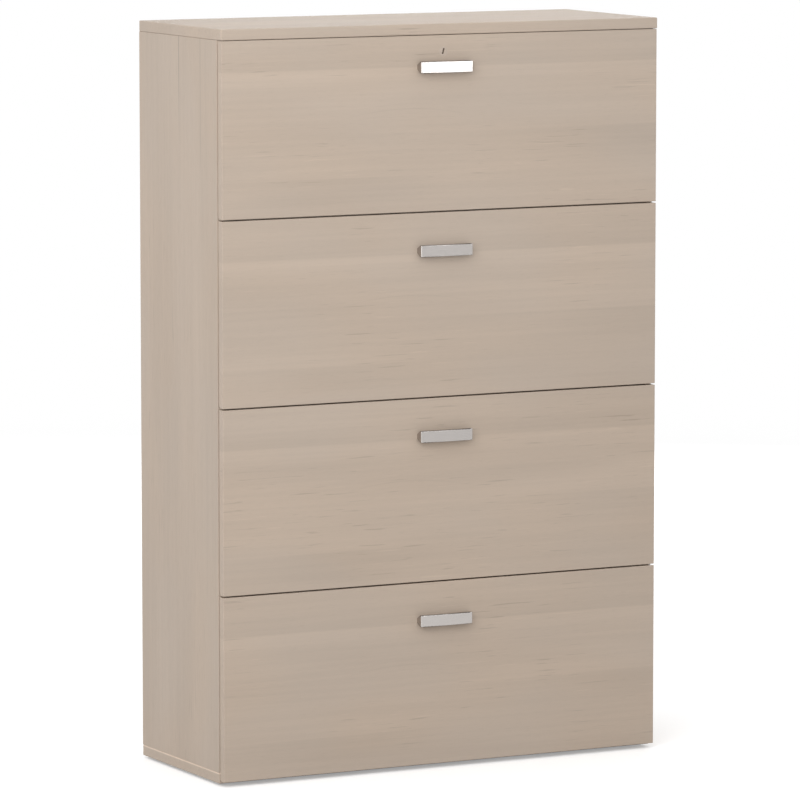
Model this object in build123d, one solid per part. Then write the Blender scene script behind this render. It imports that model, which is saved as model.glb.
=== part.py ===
from build123d import *
from math import cos, radians, sin, sqrt
import os

# Shoe cabinet with four full-width tilt-out flaps, in millimetres.
# +Z is up, the fronts face -Y, and +X is to the right seen from the front.
# The origin lies on the floor, midway between the sides and between handles and back.
# Beside each hinge, u is the distance behind the pivot (+Y) and v the height above it (+Z).

# Overall sizes
WIDTH = 980.0
DEPTH = 380.0
HEIGHT = 1500.0
FLAP_COUNT = 4

# Panels of the carcass
TOP_THICKNESS = 22.0
BOTTOM_THICKNESS = 22.0
SIDE_THICKNESS = 18.0
BACK_THICKNESS = 8.0
BACK_LAP = 9.0
BACK_FIT = 0.5
PANEL_ROUNDING = 0.6
EDGE_BAND_ROUNDING = 2.0
RAIL_THICKNESS = 18.0
RAIL_DEPTH = 60.0
WALL_RAIL_HEIGHT = 100.0
WALL_RAIL_THICKNESS = 18.0
WALL_HOLE_SPACING = 600.0
WALL_HOLE_RADIUS = 4.0
GLIDE_HEIGHT = 5.0
GLIDE_RADIUS = 15.0
GLIDE_INSET = 45.0
GLIDE_ROUNDING = 1.0

# Fronts
FRONT_THICKNESS = 18.0
FRONT_GAP = 3.0
TOP_GAP = 1.0
FRONT_BACK_GAP = 2.0
FRONT_SIDE_MARGIN = 1.5
FRONT_LIFT = 5.0
TOP_FRONT_DROP = 19.0
FRONT_ROUNDING = 1.0
BUMPER_RADIUS = 5.0
BUMPER_PLAY = 0.3
BUMPER_DROP = 40.0

# Hinge of a flap: a nose plate on the side panel, a pin and a bushed eye
OPEN_ANGLE = 45.0
NOSE_RADIUS = 5.0
NOSE_RISE = 22.0
FRONT_SKIN = 2.0
POCKET_CLEARANCE = 0.5
SWING_CLEARANCE = 1.0
BRACKET_THICKNESS = 3.0
BRACKET_LENGTH = 46.0
BRACKET_HEIGHT = 40.0
BRACKET_SETBACK = 4.0
BRACKET_SCREW_EDGE = 9.0
PIN_RADIUS = 2.0
PIN_HEAD_RADIUS = 4.0
PIN_HEAD_THICKNESS = 1.5
RUNNING_CLEARANCE = 0.05
SEAT_CLEARANCE = 0.02
BUSH_WALL = 1.0
BUSH_FLANGE_RADIUS = 4.8
BUSH_OVERHANG = 1.0
HINGE_END_PLAY = 0.5

# Bin behind a front
PLATE_THICKNESS = 2.0
PLATE_GAP = 3.0
FLANGE_WIDTH = 20.0
FLANGE_END_MARGIN = 15.0
BOARD_THICKNESS = 12.0
BIN_CLEARANCE = 14.0
FLOOR_CLEARANCE = 3.0
BACK_BOARD_HEIGHT = 110.0
BOARD_MARGIN = 5.0
STOP_INSET = 28.0
STOP_ANGLE = 75.0
STOP_RADIUS = 5.0
STOP_PLAY = 0.5
STOP_HEAD_RADIUS = 8.0
STOP_HEAD_THICKNESS = 2.0
STOP_HEAD_PLAY = 2.0
STOP_SPIGOT_RADIUS = 4.0
STOP_SPIGOT_LENGTH = 10.0

# Handles
HANDLE_LENGTH = 117.0
HANDLE_HEIGHT = 23.5
HANDLE_PROJECTION = 20.0
HANDLE_BOW = 2.5
HANDLE_BAR = 5.5
HANDLE_LEG = 10.0
HANDLE_CORNER = 2.5
HANDLE_INNER_CORNER = 3.0
HANDLE_END_CORNER = 3.0
HANDLE_EDGE_ROUNDING = 1.4
HANDLE_FOOT_HEIGHT = 9.0
HANDLE_DROP = 75.0
TOP_HANDLE_DROP = 62.5
HANDLE_SCREW_RADIUS = 2.0
HANDLE_SCREW_HOLE_PLAY = 0.25
HANDLE_SCREW_GRIP = 9.0
HANDLE_SCREW_HEAD_RADIUS = 4.0
HANDLE_SCREW_HEAD = 2.5

# Wood screws
SCREW_RADIUS = 1.75
SCREW_LENGTH = 14.0
SCREW_HEAD_RADIUS = 3.5
SCREW_HEAD = 1.8
RECESS_LENGTH = 3.6
RECESS_WIDTH = 0.8
RECESS_DEPTH = 1.2
QUARTER_TURN = 90.0
SCREW_HEAD_PLAY = 0.1
SCREW_EDGE = 25.0
BACK_SCREW_EDGE = 4.5
BACK_SCREW_PITCH_COUNT = 5

# Cam fittings that draw the panels together
CAM_RADIUS = 7.5
CAM_DEPTH = 12.5
CAM_REACH = 34.0
CAM_SLOT_WIDTH = 2.0
CAM_SLOT_DEPTH = 2.5
CAM_BOLT_RADIUS = 3.0
CAM_THREAD_RADIUS = 4.0
CAM_THREAD_LENGTH = 11.0
CAM_BOLT_PLAY = 0.5
CAM_INSET = 60.0

# Lock of the top flap
LOCK_DROP = 32.0
LOCK_HOUSING_RADIUS = 9.5
LOCK_HOUSING_TAIL = 7.0
LOCK_NUT_RADIUS = 14.0
LOCK_NUT_THICKNESS = 4.0
LOCK_PLUG_RADIUS = 6.5
LOCK_TAIL_RADIUS = 3.5
LOCK_TAIL_OVERHANG = 1.5
KEY_SLOT_WIDTH = 4.0
KEY_SLOT_HEIGHT = 11.5
KEY_SLOT_DEPTH = 9.0
KEY_SLOT_LEAN = 16.0
CAM_PLATE_THICKNESS = 2.5
CAM_PLATE_HALF_WIDTH = 6.0
CAM_PLATE_PLAY = 0.5
STRIKE_THICKNESS = 2.5
STRIKE_WIDTH = 36.0
STRIKE_LEG = 26.0
STRIKE_PLAY = 2.5
STRIKE_SCREW_SPACING = 20.0

# Room for cutting tools to run out past a face
OVERRUN = 5.0

SIDES = (-1, 1)
FLAP_NUMBERS = range(1, FLAP_COUNT + 1)

# Derived places of the carcass
HALF_WIDTH = WIDTH / 2
SIDE_INNER = HALF_WIDTH - SIDE_THICKNESS
BACK_Y = (DEPTH + HANDLE_PROJECTION) / 2
FRONT_Y = BACK_Y - DEPTH
CARCASS_Y = FRONT_Y + FRONT_THICKNESS + FRONT_BACK_GAP
BACK_PANEL_Y = BACK_Y - BACK_THICKNESS
BOTTOM_Z = GLIDE_HEIGHT
BOTTOM_TOP_Z = BOTTOM_Z + BOTTOM_THICKNESS
TOP_UNDER_Z = HEIGHT - TOP_THICKNESS

# Derived stack of fronts: equal lower fronts, and a top front shorter by its drop
STACK_BOTTOM_Z = BOTTOM_Z + FRONT_LIFT
STACK_TOP_Z = TOP_UNDER_Z - TOP_GAP
STACK_GAPS = FRONT_GAP * (FLAP_COUNT - 1)
STACK_HEIGHT = STACK_TOP_Z - STACK_BOTTOM_Z
LOWER_FRONT_HEIGHT = (STACK_HEIGHT - STACK_GAPS + TOP_FRONT_DROP) / FLAP_COUNT
FRONT_PITCH = LOWER_FRONT_HEIGHT + FRONT_GAP
FRONT_HALF_WIDTH = HALF_WIDTH - FRONT_SIDE_MARGIN

# Derived pivot: as low as lets the rounded lower edge swing within the gap below it
PIVOT_SETBACK = FRONT_SKIN + POCKET_CLEARANCE + NOSE_RADIUS
PIVOT_Y = FRONT_Y + PIVOT_SETBACK
EDGE_DIP = FRONT_GAP - SWING_CLEARANCE
EDGE_SETBACK = PIVOT_SETBACK - FRONT_ROUNDING
PIVOT_HEIGHT = FRONT_ROUNDING + (EDGE_SETBACK**2 - EDGE_DIP**2) / (2 * EDGE_DIP)
FRONT_BACK_U = FRONT_THICKNESS - PIVOT_SETBACK
CARCASS_U = FRONT_BACK_U + FRONT_BACK_GAP
BACK_PANEL_U = BACK_PANEL_Y - PIVOT_Y
RELIEF = PIVOT_HEIGHT - sqrt((CARCASS_U - SWING_CLEARANCE) ** 2 - FRONT_BACK_U**2)

# Derived stations of the hinge across the cabinet, from the side panel inwards
BRACKET_INNER = SIDE_INNER - BRACKET_THICKNESS
PLATE_OUTER = BRACKET_INNER - PLATE_GAP
PLATE_INNER = PLATE_OUTER - PLATE_THICKNESS
BUSH_INNER = PLATE_INNER - BUSH_OVERHANG
BUSH_OUTER = BRACKET_INNER - HINGE_END_PLAY
PIN_HEAD_OUTER = BUSH_INNER - HINGE_END_PLAY
PIN_HEAD_INNER = PIN_HEAD_OUTER - PIN_HEAD_THICKNESS
BUSH_BORE = PIN_RADIUS + RUNNING_CLEARANCE
BUSH_RADIUS = BUSH_BORE + BUSH_WALL

# Derived heights of the bin floor above the pivot
FLOOR_V = BOTTOM_TOP_Z - STACK_BOTTOM_Z - PIVOT_HEIGHT + FLOOR_CLEARANCE
FLOOR_TOP_V = FLOOR_V + BOARD_THICKNESS
FLANGE_START_V = max(NOSE_RISE, FLOOR_TOP_V) + FLANGE_END_MARGIN


def front_height(number):
    """Height of a flap's front; flap 1 is the top one."""
    return LOWER_FRONT_HEIGHT - TOP_FRONT_DROP if number == FLAP_NUMBERS[0] else LOWER_FRONT_HEIGHT


def front_bottom(number):
    """Height of a front's lower edge above the floor."""
    return STACK_BOTTOM_Z + FRONT_PITCH * (FLAP_COUNT - number)


def at_pivot(number):
    """Place of a flap's pivot axis, at the middle of the cabinet's width."""
    return Pos(0, PIVOT_Y, front_bottom(number) + PIVOT_HEIGHT)


def block(x, y, z):
    """Box between pairs of limits along X, Y and Z, each given in any order."""
    centre = Pos(sum(x) / 2, sum(y) / 2, sum(z) / 2)
    return centre * Box(abs(x[1] - x[0]), abs(y[1] - y[0]), abs(z[1] - z[0]))


def rounded_block(x, y, z, radius):
    """Box between pairs of limits with all its edges rounded."""
    solid = block(x, y, z)
    return fillet(solid.edges(), radius)


def rod(radius, start, direction, length):
    """Round bar from a point along a direction."""
    bar = Cylinder(radius, length, align=(Align.CENTER, Align.CENTER, Align.MIN))
    return Plane(origin=start, z_dir=direction) * bar


def sheet(outline, x, direction, thickness):
    """Plate cut to an outline in u and v, from station x along +X or -X."""
    plane = Plane(origin=(x, 0, 0), x_dir=(0, 1, 0), z_dir=(1, 0, 0))
    return extrude(plane * make_face(outline), amount=thickness, dir=(direction, 0, 0))


def screw_head(radius, height, seat, direction):
    """Round head with a cross recess, standing on the seat point against the direction."""
    head = Cylinder(radius, height, align=(Align.CENTER, Align.CENTER, Align.MAX))
    slot = Box(RECESS_LENGTH, RECESS_WIDTH, 2 * RECESS_DEPTH)
    recess = slot + Rot(0, 0, QUARTER_TURN) * slot
    return Plane(origin=seat, z_dir=direction) * (head - Pos(0, 0, -height) * recess)


def screw(seat, direction):
    """Wood screw whose head sits on the seat point and whose shank runs along the direction."""
    shank = rod(SCREW_RADIUS, seat, direction, SCREW_LENGTH)
    return shank + screw_head(SCREW_HEAD_RADIUS, SCREW_HEAD, seat, direction)


def screw_hole(seat, direction):
    """Hole that a wood screw's shank fills."""
    return rod(SCREW_RADIUS + SEAT_CLEARANCE, seat, direction, SCREW_LENGTH)


def head_recess(seat, direction):
    """Recess that takes a screw's head level with the surface."""
    outward = tuple(-part for part in direction)
    return rod(SCREW_HEAD_RADIUS + SCREW_HEAD_PLAY, seat, outward, SCREW_HEAD + OVERRUN)


def cut_all(solid, tools):
    """Solid with every tool's shape taken out of it."""
    return solid - tools if tools else solid


def placed(place, shapes):
    """Shapes moved from the pivot's own frame to their place in the cabinet."""
    return [place * shape for shape in shapes]


class Carcass:
    """Panels, rails and fittings that stand still."""

    def __init__(self):
        self.side_cuts = {side: [] for side in SIDES}
        self.top_cuts = []
        self.bottom_cuts = []
        self.back_cuts = []
        self.rail_cuts = {number: [] for number in FLAP_NUMBERS[1:]}
        self.wall_rail_cuts = []
        self.groups = {
            name: []
            for name in (
                "cam_bolts",
                "cam_housings",
                "hinge_brackets",
                "hinge_pins",
                "bracket_screws",
                "back_screws",
                "stop_studs",
                "flap_bumpers",
                "floor_glides",
            )
        }

    def cam_joint(self, face_point, inward, housing_face, housing_axis, thread_cuts, edge_cuts):
        """Bolt across a butt joint with its cam housing.

        The thread runs from the joint face back into one panel, the shank runs inward into
        the other panel's edge, and the housing is let into that panel from its face.
        """
        outward = tuple(-part for part in inward)
        centre = tuple(p + d * CAM_REACH for p, d in zip(face_point, inward))
        hub = tuple(f if a else c for f, a, c in zip(housing_face, housing_axis, centre))
        shank = rod(CAM_BOLT_RADIUS, face_point, inward, CAM_REACH)
        thread = rod(CAM_THREAD_RADIUS, face_point, outward, CAM_THREAD_LENGTH)
        shank_hole = rod(CAM_BOLT_RADIUS + CAM_BOLT_PLAY, face_point, inward, CAM_REACH + CAM_BOLT_PLAY)
        housing = rod(CAM_RADIUS, hub, housing_axis, CAM_DEPTH) - shank_hole
        across = 2 * CAM_RADIUS + OVERRUN
        slot_size = [CAM_SLOT_WIDTH if d else across for d in inward]
        slot_size = [2 * CAM_SLOT_DEPTH if a else size for a, size in zip(housing_axis, slot_size)]
        slot = Pos(*hub) * Box(*slot_size)
        self.groups["cam_bolts"].append(shank + thread)
        self.groups["cam_housings"].append(housing - slot)
        thread_hole = rod(CAM_THREAD_RADIUS + SEAT_CLEARANCE, face_point, outward, CAM_THREAD_LENGTH)
        thread_cuts.append(thread_hole)
        edge_cuts.append(shank_hole)
        edge_cuts.append(rod(CAM_RADIUS + SEAT_CLEARANCE, hub, housing_axis, CAM_DEPTH))

    def join_panels(self):
        """Cam fittings between the side panels and the top, bottom and rails."""
        rows = (CARCASS_Y + CAM_INSET, BACK_PANEL_Y - CAM_INSET)
        for side in SIDES:
            x = side * (SIDE_INNER + SIDE_THICKNESS / 2)
            face = (side * SIDE_INNER, 0, 0)
            axis = (side, 0, 0)
            cuts = self.side_cuts[side]
            for y in rows:
                self.cam_joint((x, y, TOP_UNDER_Z), (0, 0, -1), face, axis, self.top_cuts, cuts)
                self.cam_joint((x, y, BOTTOM_TOP_Z), (0, 0, 1), face, axis, self.bottom_cuts, cuts)
            for number, rail_cuts in self.rail_cuts.items():
                low, high = self.rail_heights(number)
                start = (side * SIDE_INNER, CARCASS_Y + RAIL_DEPTH / 2, (low + high) / 2)
                self.cam_joint(start, (-side, 0, 0), (0, 0, low), (0, 0, 1), cuts, rail_cuts)
            wall_face = BACK_PANEL_Y - WALL_RAIL_THICKNESS
            start = (side * SIDE_INNER, wall_face + WALL_RAIL_THICKNESS / 2, self.wall_rail_middle())
            self.cam_joint(start, (-side, 0, 0), (0, wall_face, 0), (0, 1, 0), cuts, self.wall_rail_cuts)

    @staticmethod
    def rail_heights(number):
        """Lower and upper face of the rail behind the gap above a front."""
        middle = front_bottom(number) + LOWER_FRONT_HEIGHT + FRONT_GAP / 2
        return middle - RAIL_THICKNESS / 2, middle + RAIL_THICKNESS / 2

    @staticmethod
    def wall_rail_middle():
        """Height of the wall rail's middle, where its wall holes lie."""
        return TOP_UNDER_Z - WALL_RAIL_HEIGHT / 2

    def hang_flap(self, number, bin_box):
        """Brackets, pins, studs and bumpers that one flap turns on and rests against."""
        place = at_pivot(number)
        for side in SIDES:
            outer = side * SIDE_INNER
            bracket = sheet(self.bracket_outline(), outer, -side, BRACKET_THICKNESS)
            pin_hole = rod(PIN_RADIUS + SEAT_CLEARANCE, (outer, 0, 0), (-side, 0, 0), BRACKET_THICKNESS)
            bracket = bracket - pin_hole
            seats = [(side * (BRACKET_INNER + SCREW_HEAD), u, v) for u, v in self.bracket_screw_places()]
            for seat in seats:
                bracket = bracket - screw_hole(seat, (side, 0, 0)) - head_recess(seat, (side, 0, 0))
                self.groups["bracket_screws"].append(place * screw(seat, (side, 0, 0)))
                self.side_cuts[side].append(place * screw_hole(seat, (side, 0, 0)))
            self.groups["hinge_brackets"].append(place * bracket)
            shank = rod(PIN_RADIUS, (outer, 0, 0), (-side, 0, 0), SIDE_INNER - PIN_HEAD_INNER)
            head = rod(PIN_HEAD_RADIUS, (side * PIN_HEAD_OUTER, 0, 0), (-side, 0, 0), PIN_HEAD_THICKNESS)
            self.groups["hinge_pins"].append(place * (shank + head))
            self.add_stop(side, place, bin_box)
            self.add_bumper(side, place, number)

    @staticmethod
    def bracket_outline():
        """Outline of a hinge bracket: base plate, arm and nose round the pivot."""
        base_u = CARCASS_U + BRACKET_SETBACK
        base = Polyline(
            (NOSE_RADIUS, 0),
            (NOSE_RADIUS, FLOOR_V),
            (base_u + BRACKET_LENGTH, FLOOR_V),
            (base_u + BRACKET_LENGTH, FLOOR_V + BRACKET_HEIGHT),
            (base_u, FLOOR_V + BRACKET_HEIGHT),
            (base_u, NOSE_RISE),
            (-NOSE_RADIUS, NOSE_RISE),
            (-NOSE_RADIUS, 0),
        )
        return base + ThreePointArc((-NOSE_RADIUS, 0), (0, -NOSE_RADIUS), (NOSE_RADIUS, 0))

    @staticmethod
    def bracket_screw_places():
        """Places of a bracket's two screws in u and v, in opposite corners of its base."""
        near_u = CARCASS_U + BRACKET_SETBACK + BRACKET_SCREW_EDGE
        far_u = CARCASS_U + BRACKET_SETBACK + BRACKET_LENGTH - BRACKET_SCREW_EDGE
        low_v = FLOOR_V + BRACKET_SCREW_EDGE
        high_v = FLOOR_V + BRACKET_HEIGHT - BRACKET_SCREW_EDGE
        return ((near_u, high_v), (far_u, low_v))

    def add_stop(self, side, place, bin_box):
        """Stud that stands in the arc slot of a bin's side plate and ends its travel."""
        u = bin_box.stop_path * cos(radians(STOP_ANGLE))
        v = bin_box.stop_path * sin(radians(STOP_ANGLE))
        start = (side * SIDE_INNER, u, v)
        head_outer = PLATE_INNER - STOP_HEAD_PLAY
        stud = rod(STOP_RADIUS, start, (-side, 0, 0), SIDE_INNER - head_outer)
        stud += rod(STOP_HEAD_RADIUS, (side * head_outer, u, v), (-side, 0, 0), STOP_HEAD_THICKNESS)
        stud += rod(STOP_SPIGOT_RADIUS, start, (side, 0, 0), STOP_SPIGOT_LENGTH)
        hole = rod(STOP_SPIGOT_RADIUS + SEAT_CLEARANCE, start, (side, 0, 0), STOP_SPIGOT_LENGTH)
        self.groups["stop_studs"].append(place * stud)
        self.side_cuts[side].append(place * hole)

    def add_bumper(self, side, place, number):
        """Soft button on the side panel's front edge that a closing front meets."""
        x = side * (SIDE_INNER + SIDE_THICKNESS / 2)
        v = front_height(number) - PIVOT_HEIGHT - BUMPER_DROP
        button = rod(BUMPER_RADIUS, (x, CARCASS_U, v), (0, -1, 0), FRONT_BACK_GAP - BUMPER_PLAY)
        self.groups["flap_bumpers"].append(place * button)

    def add_glides(self):
        """Glides under the bottom panel, in two rows of three."""
        x_places = (GLIDE_INSET - HALF_WIDTH, 0, HALF_WIDTH - GLIDE_INSET)
        for x in x_places:
            for y in (CARCASS_Y + GLIDE_INSET, BACK_Y - GLIDE_INSET):
                glide = rod(GLIDE_RADIUS, (x, y, 0), (0, 0, 1), GLIDE_HEIGHT)
                foot_edge = glide.edges().group_by(Axis.Z)[0]
                self.groups["floor_glides"].append(fillet(foot_edge, GLIDE_ROUNDING))

    def screw_back(self):
        """Screws round the edge of the back panel into the sides, top and bottom."""
        seat_y = BACK_Y - SCREW_HEAD
        edge_x = SIDE_INNER + BACK_SCREW_EDGE
        low_z = BOTTOM_TOP_Z - BACK_SCREW_EDGE
        high_z = TOP_UNDER_Z + BACK_SCREW_EDGE
        for index in range(BACK_SCREW_PITCH_COUNT):
            share = (2 * index + 1) / (2 * BACK_SCREW_PITCH_COUNT)
            z = BOTTOM_TOP_Z + (TOP_UNDER_Z - BOTTOM_TOP_Z) * share
            for side in SIDES:
                self.back_screw((side * edge_x, seat_y, z), self.side_cuts[side])
            x = SIDE_INNER * (2 * share - 1)
            self.back_screw((x, seat_y, low_z), self.bottom_cuts)
            self.back_screw((x, seat_y, high_z), self.top_cuts)

    def back_screw(self, seat, panel_cuts):
        """One flush screw through the back panel into a panel's rebate."""
        into = (0, -1, 0)
        self.groups["back_screws"].append(screw(seat, into))
        self.back_cuts.append(screw_hole(seat, into))
        self.back_cuts.append(head_recess(seat, into))
        panel_cuts.append(screw_hole(seat, into))

    def strike(self, lock_v):
        """Angle under the top panel that the lock's cam catches behind, and its screws."""
        place = at_pivot(FLAP_NUMBERS[0])
        top_v = TOP_UNDER_Z - front_bottom(FLAP_NUMBERS[0]) - PIVOT_HEIGHT
        front_u = strike_front_u()
        low_v = lock_v + LOCK_NUT_RADIUS + BOARD_MARGIN
        half = STRIKE_WIDTH / 2
        angle = block((-half, half), (front_u, front_u + STRIKE_THICKNESS), (low_v, top_v))
        angle += block((-half, half), (front_u, front_u + STRIKE_LEG), (top_v - STRIKE_THICKNESS, top_v))
        screw_u = front_u + STRIKE_LEG - BRACKET_SCREW_EDGE
        for side in SIDES:
            seat = (side * STRIKE_SCREW_SPACING / 2, screw_u, top_v - STRIKE_THICKNESS + SCREW_HEAD)
            angle = angle - screw_hole(seat, (0, 0, 1)) - head_recess(seat, (0, 0, 1))
            self.groups["bracket_screws"].append(place * screw(seat, (0, 0, 1)))
            self.top_cuts.append(place * screw_hole(seat, (0, 0, 1)))
        return place * angle

    def wall_holes(self):
        """Two holes through the wall rail and the back panel for fixing to a wall."""
        start_y = BACK_PANEL_Y - WALL_RAIL_THICKNESS - OVERRUN
        length = BACK_Y - start_y + OVERRUN
        for side in SIDES:
            start = (side * WALL_HOLE_SPACING / 2, start_y, self.wall_rail_middle())
            hole = rod(WALL_HOLE_RADIUS, start, (0, 1, 0), length)
            self.wall_rail_cuts.append(hole)
            self.back_cuts.append(hole)

    def panels(self):
        """Top, bottom, sides, back and rails, with every hole and rebate cut."""
        depth = (CARCASS_Y, BACK_Y)
        across = (-HALF_WIDTH, HALF_WIDTH)
        rebate_x = (-SIDE_INNER - BACK_LAP, SIDE_INNER + BACK_LAP)
        rebate_y = (BACK_PANEL_Y, BACK_Y + OVERRUN)
        rebate_z = (BOTTOM_TOP_Z - BACK_LAP, TOP_UNDER_Z + BACK_LAP)
        rebate = block(rebate_x, rebate_y, rebate_z)
        top = rounded_block(across, (FRONT_Y, BACK_Y), (TOP_UNDER_Z, HEIGHT), EDGE_BAND_ROUNDING)
        bottom = rounded_block(across, depth, (BOTTOM_Z, BOTTOM_TOP_Z), EDGE_BAND_ROUNDING)
        pieces = {
            "top_panel": cut_all(top, self.top_cuts + [rebate]),
            "bottom_panel": cut_all(bottom, self.bottom_cuts + [rebate]),
        }
        for side, name in zip(SIDES, ("side_panel_left", "side_panel_right")):
            x = (side * SIDE_INNER, side * HALF_WIDTH)
            panel = rounded_block(x, depth, (BOTTOM_TOP_Z, TOP_UNDER_Z), PANEL_ROUNDING)
            pieces[name] = cut_all(panel, self.side_cuts[side] + [rebate])
        back = block(
            (rebate_x[0] + BACK_FIT, rebate_x[1] - BACK_FIT),
            (BACK_PANEL_Y, BACK_Y),
            (rebate_z[0] + BACK_FIT, rebate_z[1] - BACK_FIT),
        )
        pieces["back_panel"] = cut_all(back, self.back_cuts)
        inside = (-SIDE_INNER, SIDE_INNER)
        for number, cuts in self.rail_cuts.items():
            rail = block(inside, (CARCASS_Y, CARCASS_Y + RAIL_DEPTH), self.rail_heights(number))
            pieces[f"cross_rail_{number - 1}"] = cut_all(rail, cuts)
        rail_y = (BACK_PANEL_Y - WALL_RAIL_THICKNESS, BACK_PANEL_Y)
        wall_rail = block(inside, rail_y, (TOP_UNDER_Z - WALL_RAIL_HEIGHT, TOP_UNDER_Z))
        pieces["wall_rail"] = cut_all(wall_rail, self.wall_rail_cuts)
        return pieces


class Bin:
    """Shoe bin behind one front: two side plates, a floor, a divider and a back board."""

    def __init__(self, number):
        room = min(front_height(number) - PIVOT_HEIGHT, BACK_PANEL_U)
        self.radius = room - BIN_CLEARANCE
        self.back_top_v = FLOOR_TOP_V + BACK_BOARD_HEIGHT
        self.back_u = sqrt(self.radius**2 - (self.back_top_v + BOARD_MARGIN) ** 2)
        self.back_inner_u = self.back_u - BOARD_THICKNESS
        self.stop_path = self.back_inner_u - STOP_INSET
        self.divider_u = (FRONT_BACK_U + self.back_u - BOARD_THICKNESS) / 2
        divider_back_u = self.divider_u + BOARD_THICKNESS
        self.divider_top_v = sqrt((self.stop_path - STOP_INSET) ** 2 - divider_back_u**2)
        self.screw_cuts = []
        self.screws = []

    def boards(self):
        """Floor, divider and back board between the side plates."""
        across = (-PLATE_INNER, PLATE_INNER)
        divider_u = (self.divider_u, self.divider_u + BOARD_THICKNESS)
        back_u = (self.back_inner_u, self.back_u)
        floor = block(across, (FRONT_BACK_U, self.back_u), (FLOOR_V, FLOOR_TOP_V))
        divider = block(across, divider_u, (FLOOR_TOP_V, self.divider_top_v))
        back = block(across, back_u, (FLOOR_TOP_V, self.back_top_v))
        return {
            "floor_board": cut_all(floor, self.screw_cuts),
            "divider_board": cut_all(divider, self.screw_cuts),
            "back_board": cut_all(back, self.screw_cuts),
        }

    def board_screw_places(self):
        """Places in u and v of the screws through a side plate into the boards' ends."""
        half = BOARD_THICKNESS / 2
        floor_v = FLOOR_V + half
        divider_u = self.divider_u + half
        back_u = self.back_inner_u + half
        return (
            (FRONT_BACK_U + SCREW_EDGE, floor_v),
            (self.back_u - SCREW_EDGE, floor_v),
            (divider_u, FLOOR_TOP_V + SCREW_EDGE),
            (divider_u, self.divider_top_v - SCREW_EDGE),
            (back_u, FLOOR_TOP_V + SCREW_EDGE),
            (back_u, self.back_top_v - SCREW_EDGE),
        )

    def flange_screw_heights(self):
        """Heights of the screws through a plate's flange into the front."""
        low = FLANGE_START_V + SCREW_EDGE
        high = self.flange_end_v() - SCREW_EDGE
        return (low, (low + high) / 2, high)

    def flange_end_v(self):
        """Height where the flange of a side plate ends."""
        return self.radius - FLANGE_END_MARGIN

    def plate_outline(self):
        """Outline of a side plate: eye round the pivot, floor edge, back edge and arc."""
        corner_v = sqrt(self.radius**2 - self.back_u**2)
        front_v = sqrt(self.radius**2 - FRONT_BACK_U**2)
        middle = self.radius / sqrt(2)
        straight = Polyline(
            (FRONT_BACK_U, front_v),
            (FRONT_BACK_U, NOSE_RISE),
            (-NOSE_RADIUS, NOSE_RISE),
            (-NOSE_RADIUS, 0),
        )
        eye = ThreePointArc((-NOSE_RADIUS, 0), (0, -NOSE_RADIUS), (NOSE_RADIUS, 0))
        edges = Polyline(
            (NOSE_RADIUS, 0),
            (NOSE_RADIUS, FLOOR_V),
            (self.back_u, FLOOR_V),
            (self.back_u, corner_v),
        )
        rim = ThreePointArc((self.back_u, corner_v), (middle, middle), (FRONT_BACK_U, front_v))
        return straight + eye + edges + rim

    def side_plate(self, side):
        """One side plate with its flange, eye, arc slot and screw holes."""
        plate = sheet(self.plate_outline(), side * PLATE_OUTER, -side, PLATE_THICKNESS)
        flange_x = (side * PLATE_INNER, side * (PLATE_INNER - FLANGE_WIDTH))
        flange_u = (FRONT_BACK_U, FRONT_BACK_U + PLATE_THICKNESS)
        plate += block(flange_x, flange_u, (FLANGE_START_V, self.flange_end_v()))
        path = CenterArc((0, 0), self.stop_path, STOP_ANGLE - OPEN_ANGLE, OPEN_ANGLE)
        slot = SlotArc(path, 2 * (STOP_RADIUS + STOP_PLAY))
        slot_plane = Plane(origin=(side * (PLATE_OUTER + OVERRUN), 0, 0), x_dir=(0, 1, 0), z_dir=(1, 0, 0))
        slot_depth = PLATE_THICKNESS + 2 * OVERRUN
        plate = plate - extrude(slot_plane * slot, amount=slot_depth, dir=(-side, 0, 0))
        eye_start = (side * (PLATE_OUTER + OVERRUN), 0, 0)
        eye = rod(BUSH_RADIUS + SEAT_CLEARANCE, eye_start, (-side, 0, 0), PLATE_THICKNESS + 2 * OVERRUN)
        plate = plate - eye
        for u, v in self.board_screw_places():
            seat = (side * PLATE_OUTER, u, v)
            self.screws.append(screw(seat, (-side, 0, 0)))
            self.screw_cuts.append(screw_hole(seat, (-side, 0, 0)))
        for v in self.flange_screw_heights():
            seat = (side * (PLATE_INNER - FLANGE_WIDTH / 2), FRONT_BACK_U + PLATE_THICKNESS, v)
            self.screws.append(screw(seat, (0, -1, 0)))
            self.screw_cuts.append(screw_hole(seat, (0, -1, 0)))
        return plate

    def side_plates(self):
        """Both side plates, with the holes for their own screws."""
        plates = [self.side_plate(side) for side in SIDES]
        return [cut_all(plate, self.screw_cuts) for plate in plates]

    @staticmethod
    def pivot_bushes():
        """Flanged bushes in the eyes of the side plates."""
        bushes = []
        for side in SIDES:
            inward = (-side, 0, 0)
            sleeve = rod(BUSH_RADIUS, (side * PLATE_OUTER, 0, 0), inward, PLATE_OUTER - BUSH_INNER)
            flange = rod(BUSH_FLANGE_RADIUS, (side * BUSH_OUTER, 0, 0), inward, BUSH_OUTER - PLATE_OUTER)
            bore = rod(BUSH_BORE, (side * BUSH_OUTER, 0, 0), inward, BUSH_OUTER - BUSH_INNER)
            bushes.append(sleeve + flange - bore)
        return bushes


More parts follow.
